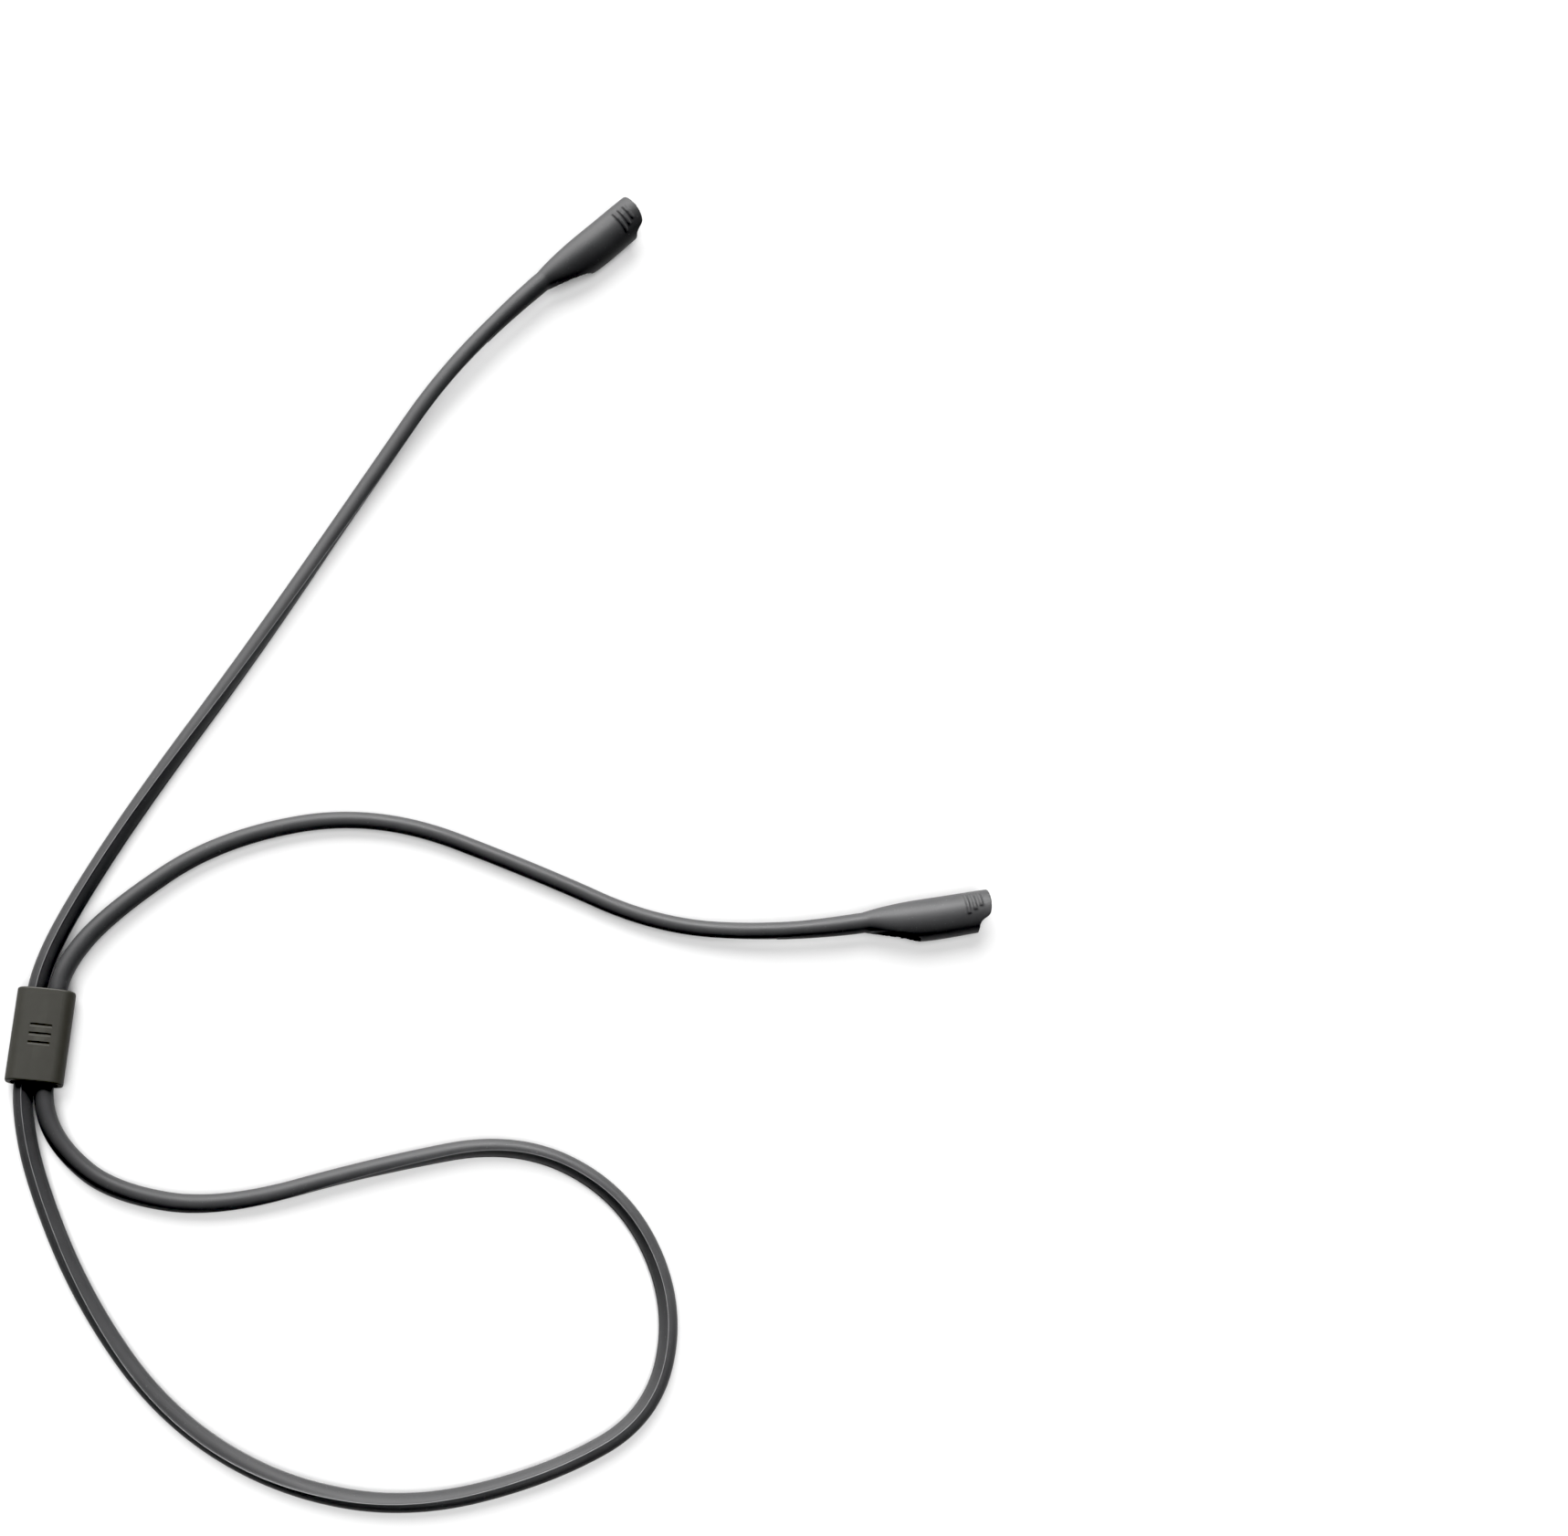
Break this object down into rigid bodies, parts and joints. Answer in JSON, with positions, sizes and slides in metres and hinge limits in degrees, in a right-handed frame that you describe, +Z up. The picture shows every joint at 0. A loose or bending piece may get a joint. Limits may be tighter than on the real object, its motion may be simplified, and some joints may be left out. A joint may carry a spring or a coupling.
{
  "type": "eyeglasses strap",
  "caption": "Flat-lying eyeglasses retainer strap: a soft round cord with moulded temple sleeves at its ends, doubled through an oblong friction slider that sets the loop.",
  "frame": {"origin": "on the surface that the strap lies on, under the middle of the slider", "axes": "+Z up off that surface, +Y along the slider toward the ends with the temple sleeves, +X toward the side where the glasses lie"},
  "size_m": [0.1667, 0.2431, 0.007],
  "materials": {
    "cord": "matte silicone",
    "temple_sleeve": "matte silicone",
    "slider": "fine matte, soft touch"
  },
  "bodies": {
    "strap": {"cord": "cord", "left_temple_sleeve": "temple_sleeve", "right_temple_sleeve": "temple_sleeve"},
    "slider": {"slider": "slider"}
  },
  "joints": [
    {"name": "slider_slide", "type": "slide", "parent": "strap", "child": "slider", "axis": [0, 1, 0], "range_m": [-0.0025, 0.0025]}
  ]
}
